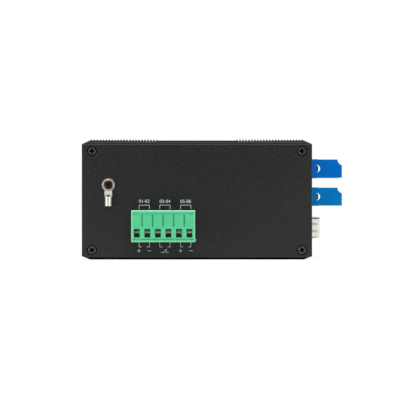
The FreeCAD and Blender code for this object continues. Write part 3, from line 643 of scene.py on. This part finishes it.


# Below the head's outer face the screws get painted shade: the cross recesses and the heads' sides
# stand near black.
painted_shade_depth = 0.00012
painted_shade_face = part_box("plain_end_screws")[1].y - painted_shade_depth
black_oxide = blacked_steel("black_oxide", (0.042, 0.042, 0.043), (0.135, 0.135, 0.137), painted_shade_face)
head_radius = 0.00195
head_rim = 0.0007
head_edge = 0.00008
head_turn = 40
shank_radius = 0.00125
shrink = shank_radius / head_radius
cross_span = 0.0029
cross_arm = 0.00095
cross_depth = 0.0014
cross_turns = (25, 3, 19, 11)
for node, inward in (("power_end_screws", 1), ("plain_end_screws", -1)):
    low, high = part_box(node)
    head_y, tip_y = (low.y, high.y) if inward > 0 else (high.y, low.y)
    first = Vector((low.x + head_radius, head_y, low.z + head_radius))
    last = Vector((high.x - head_radius, head_y, high.z - head_radius))
    seat = first + Vector((0, inward * head_rim, 0))
    neck = seat + Vector((0, inward * (head_radius - shank_radius), 0))
    pattern = bar_along("Y", head_radius, first, seat)
    pick(pattern, "polygons", lambda face: abs(face.center.y - seat.y) < same_place)
    bpy.ops.mesh.extrude_region_move(TRANSFORM_OT_translate={"value": neck - seat})
    bpy.ops.transform.resize(value=(shrink, 1, shrink), center_override=neck)
    bpy.ops.mesh.extrude_region_move(TRANSFORM_OT_translate={"value": (0, tip_y - neck.y, 0)})
    done_editing()
    drive_cross(pattern, first, inward, cross_span, cross_arm, cross_depth)
    corners = [Vector((x, head_y, z)) for x in (first.x, last.x) for z in (first.z, last.z)]
    screws = []
    for top, turn in zip(corners, cross_turns):
        screw = moved_copy(pattern, top - first)
        pick(screw, "vertices", lambda vertex: True)
        bpy.ops.transform.rotate(value=math.radians(turn), orient_axis="Y", center_override=top)
        done_editing()
        screws.append(screw)
    bpy.data.objects.remove(pattern)
    group = joined(screws, node + "_finished")
    round_edges(group, head_edge, head_turn)
    shade(group, black_oxide)
    fit(group, node)


# Ground lug: a crimp lug stamped from tinned copper sheet, with a flat ring under the screw, a
# flat neck and a barrel rolled from the sheet's two wings, which meet in a seam at the front.
lug_low, lug_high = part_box("ring_lug")
lug_sheet = 0.0008
lug_edge = 0.00008
lug_turn = 35
ring_radius = (lug_high.x - lug_low.x) / 2
ring_middle = Vector((lug_low.x + ring_radius, lug_high.y, lug_high.z - ring_radius))
ring_face = ring_middle - Vector((0, lug_sheet, 0))
ring_sides = 64
hole_radius = 0.00135
neck_half = 0.00183
barrel_radius = (lug_high.y - lug_low.y) / 2
barrel_axis = Vector((ring_middle.x, lug_high.y - barrel_radius, lug_low.z))
barrel_sides = 80
barrel_squeeze = 0.89
barrel_wall = 0.0006
barrel_drop = 0.0044
barrel_top = ring_middle.z - barrel_drop
mouth_drop = 0.0059
mouth_low = ring_middle.z - mouth_drop
seam_dip = 0.0006
seam_half = 0.0005
mouth_shade_rise = 0.0008

lug = bar_along("Y", ring_radius, ring_face, ring_middle, ring_sides)
lug.name = "ring_lug_finished"
neck = block_between(
    Vector((ring_middle.x - neck_half, ring_face.y, mouth_low)),
    Vector((ring_middle.x + neck_half, ring_middle.y, ring_middle.z)),
)
boolean(lug, neck, "UNION")
clear_of_sheet = Vector((0, lug_sheet, 0))
hole = bar_along("Y", hole_radius, ring_face - clear_of_sheet, ring_middle + clear_of_sheet)
boolean(lug, hole, "DIFFERENCE")

bpy.ops.object.select_all(action="DESELECT")
bpy.ops.mesh.primitive_circle_add(vertices=barrel_sides, radius=barrel_radius, location=barrel_axis)
barrel = bpy.context.object
place_mesh(barrel)
pick(barrel, "vertices", lambda vertex: True)
bpy.ops.transform.resize(value=(barrel_squeeze, 1, 1), center_override=barrel_axis)
done_editing()
front_y = barrel_axis.y - barrel_radius
pick(barrel, "vertices", lambda vertex: vertex.co.y < front_y + same_place)
bpy.ops.transform.translate(
    value=(0, seam_dip, 0),
    use_proportional_edit=True,
    proportional_edit_falloff="SHARP",
    proportional_size=seam_half,
)
bpy.ops.mesh.select_all(action="SELECT")
bpy.ops.mesh.extrude_region_move(
    TRANSFORM_OT_translate={"value": (0, 0, barrel_top - barrel_axis.z)}
)
mouth_slope = Vector((0, mouth_low - barrel_top, 2 * barrel_radius - lug_sheet))
bpy.ops.mesh.select_all(action="SELECT")
bpy.ops.mesh.bisect(
    plane_co=(ring_middle.x, ring_face.y, barrel_top),
    plane_no=mouth_slope.normalized(),
    clear_outer=True,
)
bpy.ops.mesh.select_all(action="SELECT")
bpy.ops.mesh.normals_make_consistent(inside=False)
done_editing()
apply_modifier(barrel, "SOLIDIFY", thickness=barrel_wall, offset=-1)
boolean(lug, barrel, "UNION")


def lug_tin(axis, ring_foot, mouth_shade_top, inner_radius):
    """Matt tin, dented on the pressed ring, with dark brown painted shade inside the barrel's mouth."""
    material, shader, place = new_finish("lug_tin")
    speck = grain(place, 3200)
    cloud = grain(place, 1100, 3.0)
    across = coordinate(place, "X") - axis.x
    deep = coordinate(place, "Y") - axis.y
    height = coordinate(place, "Z")
    pressed = height > ring_foot
    outside = across * across + deep * deep > inner_radius**2
    mouth_shade = (1 - outside) * (1 - (height > mouth_shade_top))
    flat = tint(cloud, (0.97, 0.87, 0.79), (1.0, 0.93, 0.87))
    rolled = tint(cloud, (0.68, 0.67, 0.64), (0.84, 0.83, 0.8))
    smooth = tint(deep > 0, rolled, flat)
    dented = tint(2.4 * cloud - 0.7, (0.5, 0.48, 0.465), (0.99, 0.96, 0.93))
    feed(
        shader,
        {
            "Base Color": tint(mouth_shade, tint(pressed, smooth, dented), (0.06, 0.035, 0.022)),
            "Metallic": 0.3 + 0.12 * pressed,
            "Roughness": 0.16 + 0.14 * cloud,
            "Normal": relief(speck, 0.00001),
        },
    )
    return material


round_edges(lug, lug_edge, lug_turn)
ring_foot = ring_middle.z - ring_radius
# The barrel's bore, up to just above the mouth's low edge, gets painted shade, dark brown.
shade(lug, lug_tin(barrel_axis, ring_foot, mouth_low + mouth_shade_rise, barrel_radius - barrel_wall / 2))
fit(lug, "ring_lug")


# Ground screw: a pan-head steel screw with a cross recess, oiled to a brown black, through the
# lug and the plate into a plated nut behind it.
screw_low, screw_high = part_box("ground_screw")
pan_radius = (screw_high.x - screw_low.x) / 2
pan_sides = 64
pan_rise = 0.0011
pan_steps = 6
pan_edge = 0.00006
pan_turn = 45
pan_inward = 1
pan_cross_span = 0.0024
pan_cross_arm = 0.00065
pan_cross_depth = 0.0011
stem_radius = 0.00125
nut_edge = 0.00012
pan_top = Vector((screw_low.x + pan_radius, screw_low.y, screw_low.z + pan_radius))
pan_seat = Vector((pan_top.x, ring_face.y, pan_top.z))
pan = bar_along("Y", pan_radius, pan_top, pan_seat, pan_sides)
pan.name = "ground_screw_finished"
pick(pan, "polygons", lambda face: abs(face.center.y - pan_top.y) < same_place)
bpy.ops.mesh.bevel(offset=pan_rise, segments=pan_steps, affect="EDGES")
done_editing()
pick(pan, "polygons", lambda face: abs(face.center.y - pan_seat.y) < same_place)
bpy.ops.mesh.inset(thickness=pan_radius - stem_radius)
bpy.ops.mesh.extrude_region_move(
    TRANSFORM_OT_translate={"value": (0, screw_high.y - pan_seat.y, 0)}
)
done_editing()
drive_cross(pan, pan_top, pan_inward, pan_cross_span, pan_cross_arm, pan_cross_depth)
round_edges(pan, pan_edge, pan_turn)
# Behind the lug's face the ground screw gets painted shade, near black.
brown_oxide = blacked_steel(
    "brown_black_oxide", (0.006, 0.0026, 0.0015), (0.07, 0.033, 0.02), abs(pan_seat.y)
)
shade(pan, brown_oxide)
fit(pan, "ground_screw")
rounded("ground_nut", nut_edge, zinc)


# Power plug: a green moulding with six poles. Each has a wire hole in front, a screw hole on
# top and a chamber where a zinc-plated cage is drawn up by its slotted screw onto the contact.
def paint_rim_highlight(finish, low, high, band):
    """Paint a pale highlight on a moulding in a band round the outline of its front, which faces along
    -Y.
    """
    shader, colour, place = painted(finish)
    middle = (low + high) / 2
    across = coordinate(place, "X") - middle.x
    along = coordinate(place, "Y")
    height = coordinate(place, "Z") - middle.z
    at_side = abs(across) > high.x - middle.x - band
    at_end = abs(height) > high.z - middle.z - band
    rim_highlight = at_side.maths("MAXIMUM", at_side, at_end) * (1 - (along > low.y + band))
    pale = tint(grain(place, 900, 3.0), (0.15, 0.61, 0.34), (0.23, 0.77, 0.44))
    feed(shader, {"Base Color": tint(rim_highlight, colour, pale)})


plug_edge = 0.00014
contact_edge = 0.0002
clamp_edge = 0.0001
rim_highlight_band = 0.0007
pole_count = 6
header_low, header_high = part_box("terminal_header")
plug_low, plug_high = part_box("terminal_plug")
# The joining rib at one side stands past the front's outline, which is even about the header.
plug_high.x = header_low.x + header_high.x - plug_low.x
plug_green = green_moulding.copy()
plug_green.name = "plug_green"
# Painted highlight: a pale green band round the outline of the plug's front.
paint_rim_highlight(plug_green, plug_low, plug_high, rim_highlight_band)
rounded("terminal_plug", plug_edge, plug_green, steps=3)
dull_contact = plated("dull_contact", (0.56, 0.49, 0.46), (0.75, 0.67, 0.635), 0.3, 0.55)
# The cages' near-black plating is darker than zinc, and stands in for the shade in the chambers behind
# the wire holes.
shade_dark_zinc = plated("shade_dark_zinc", (0.06, 0.06, 0.058), (0.13, 0.127, 0.122), 0.34)
rounded("plug_contacts", contact_edge, dull_contact)
for number in range(1, pole_count + 1):
    rounded("clamp_screw_%d" % number, clamp_edge, zinc)
    rounded("clamp_cage_%d" % number, clamp_edge, shade_dark_zinc)


# Print: thin white ink, screened on the power end plate after anodising. Brackets join the
# poles in pairs, with pole numbers above and supply signs below.
ink_rise = 0.00002
ink_line = 0.0002
label_size = 0.0023
label_thinning = 0.00002
label_top = 0.02855
label_foot = 0.00435
bracket_top = 0.02675
bracket_foot = 0.02493
tail_top = 0.00857
tail_foot = 0.00626
toe = 0.0012
sign_half = 0.0008
pole_pitch = 0.00508
print_shift = 0.00062
print_middle = (header_low.x + header_high.x) / 2 + print_shift
plate_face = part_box("power_end_plate")[0].y
ink_y = plate_face - ink_rise / 2
marks = []


def white_ink():
    """Flat white ink with the fine pinholes that a screen leaves."""
    material, shader, place = new_finish("white_ink")
    pinhole = grain(place, 4200)
    feed(
        shader,
        {
            "Base Color": tint(pinhole, (0.68, 0.73, 0.74), (0.9, 0.94, 0.94)),
            "Roughness": 0.5 + 0.2 * pinhole,
            "Specular IOR Level": 0.2,
            "Normal": relief(pinhole, 0.000004),
        },
    )
    return material


def label(words, x, z):
    """Print flat letters, centred on a point of the plate's face."""
    bpy.ops.object.select_all(action="DESELECT")
    bpy.ops.object.text_add(location=(x, ink_y, z), rotation=(math.pi / 2, 0, 0))
    letters = bpy.context.object.data
    letters.body = words
    letters.size = label_size
    letters.offset = -label_thinning
    letters.align_x = "CENTER"
    letters.align_y = "CENTER"
    letters.extrude = ink_rise / 2
    bpy.ops.object.convert(target="MESH")
    place_mesh(bpy.context.object)
    marks.append(bpy.context.object)


def stroke(x0, z0, x1, z1):
    """Print one line between two points of the plate's face."""
    run = Vector((x1 - x0, 0, z1 - z0))
    bpy.ops.object.select_all(action="DESELECT")
    bpy.ops.mesh.primitive_cube_add(
        size=1,
        location=((x0 + x1) / 2, ink_y, (z0 + z1) / 2),
        rotation=(0, -math.atan2(run.z, run.x), 0),
    )
    line = bpy.context.object
    line.scale = (run.length + ink_line, ink_rise, ink_line)
    place_mesh(line)
    marks.append(line)


sign_low = label_foot - sign_half
sign_high = label_foot + sign_half
for pair in (-1, 0, 1):
    left = print_middle + (2 * pair - 0.5) * pole_pitch
    right = left + pole_pitch
    stroke(left, bracket_foot, left, bracket_top)
    stroke(left, bracket_top, right, bracket_top)
    stroke(right, bracket_foot, right, bracket_top)
    for leg, way in ((left, 1), (right, -1)):
        stroke(leg, tail_foot, leg, tail_top)
        stroke(leg, tail_foot, leg + way * toe, tail_foot)
    number = 2 * pair + 3
    label("%02d-%02d" % (number, number + 1), (left + right) / 2, label_top)
    if pair == 0:
        hinge = (left + right - toe) / 2
        stroke(hinge - toe, sign_low, hinge, sign_low)
        stroke(hinge, sign_low, hinge + toe, sign_high)
        stroke(hinge + toe, sign_low, hinge + 2 * toe, sign_low)
        stroke(hinge + toe, sign_low, hinge + toe, sign_high)
    else:
        for pole in (left, right):
            stroke(pole - sign_half, label_foot, pole + sign_half, label_foot)
        stroke(left, sign_low, left, sign_high)
print_on_plate = joined(marks, "power_end_print")
paint(print_on_plate, white_ink())
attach(print_on_plate, "case")


# Studio: a pale table top under a white sky, with soft lamps above, in front and at both sides.
# Camera, glossy and transmitted rays see the white; the table keeps the switch's shadow.
def seen_rays(tree):
    """Wires that are one for a ray from the camera, and for one off a glossy or clear surface."""
    rays = tree.nodes.new("ShaderNodeLightPath").outputs
    direct = Wire(tree, rays["Is Camera Ray"])
    return direct, Wire(tree, rays["Is Glossy Ray"]) + Wire(tree, rays["Is Transmission Ray"])


table_size = 1.2
table_reach = 0.12
table_drop = 0.0002
table_middle = plate_face - table_reach + table_size / 2
bpy.ops.object.select_all(action="DESELECT")
bpy.ops.mesh.primitive_plane_add(size=table_size, location=(0, table_middle, -table_drop))
table = bpy.context.object
table.name = "table_top"
place_mesh(table)

table_white = (0.8, 0.8, 0.8, 1)
shadow_grey = (0.24, 0.24, 0.24, 1)
table_glow = 0.88
mirrored_share = 0.8
table_paint = bpy.data.materials.new("table_paint")
table_paint.use_nodes = True
tree = table_paint.node_tree
tree.nodes.remove(tree.nodes["Principled BSDF"])
direct, mirrored = seen_rays(tree)
seen = direct + mirrored_share * mirrored
cloth = seen.node("ShaderNodeBsdfDiffuse", {}, {"Color": table_white})
keeper = seen.node("ShaderNodeBsdfDiffuse", {}, {"Color": shadow_grey})
glow = seen.node("ShaderNodeEmission", {}, {"Color": (1, 1, 1, 1), "Strength": table_glow})
white_table = seen.node("ShaderNodeAddShader", {}, {0: keeper, 1: glow})
surface = seen.node("ShaderNodeMixShader", {}, {0: seen, 1: cloth, 2: white_table})
feed(tree.nodes["Material Output"], {"Surface": surface})
paint(table, table_paint)

sky_glow = 0.42
camera_side = 0.12
world = bpy.data.worlds.new("white_sky")
bpy.context.scene.world = world
world.use_nodes = True
tree = world.node_tree
direct, mirrored = seen_rays(tree)
way = Wire(tree, tree.nodes.new("ShaderNodeTexCoord").outputs["Generated"])
backward = coordinate(way, "Y")
ramp = {"Value": backward, "From Min": -0.5, "From Max": 0.5, "To Min": camera_side, "To Max": 1.0}
studio = way.node("ShaderNodeMapRange", {"interpolation_type": "SMOOTHSTEP"}, ramp)
strength = sky_glow * (1 - direct - mirrored) + direct + mirrored * studio
feed(tree.nodes["Background"], {"Color": (1, 1, 1, 1), "Strength": strength})

lamp_aim = Vector((0, 0, 0.03))


def soft_lamp(name, place, size, power):
    """Square soft lamp that faces the switch."""
    data = bpy.data.lights.new(name, "AREA")
    data.size = size
    data.energy = power
    lamp = bpy.data.objects.new(name, data)
    bpy.context.collection.objects.link(lamp)
    turn = (lamp_aim - Vector(place)).to_track_quat("-Z", "Y").to_matrix().to_4x4()
    lamp.matrix_world = Matrix.Translation(place) @ turn


side_lamp_reach = 0.12
side_lamp_y = plate_face - side_lamp_reach
soft_lamp("lamp_above", (-0.12, -0.2, 1.1), 0.7, 6.0)
soft_lamp("lamp_front", (0.2, -1.15, 0.95), 0.7, 4.0)
soft_lamp("lamp_left", (-0.2, side_lamp_y, 0.02), 0.1, 0.2)
soft_lamp("lamp_right", (0.2, side_lamp_y, 0.02), 0.1, 0.2)


# Camera: straight on to the power end, at arm's length and level with the middle of the plate,
# so that the case's long walls lie hidden behind it.
view_middle = Vector((0.0015, 0, 0.02925))
view_distance = 0.8
frame_width = 0.1961
camera_data = bpy.data.cameras.new("camera")
camera_data.lens = camera_data.sensor_width * view_distance / frame_width
camera = bpy.data.objects.new("camera", camera_data)
bpy.context.collection.objects.link(camera)
camera.location = (view_middle.x, plate_face - view_distance, view_middle.z)
camera.rotation_euler = (math.pi / 2, 0, 0)
bpy.context.scene.camera = camera
bpy.context.scene.view_settings.view_transform = "Standard"
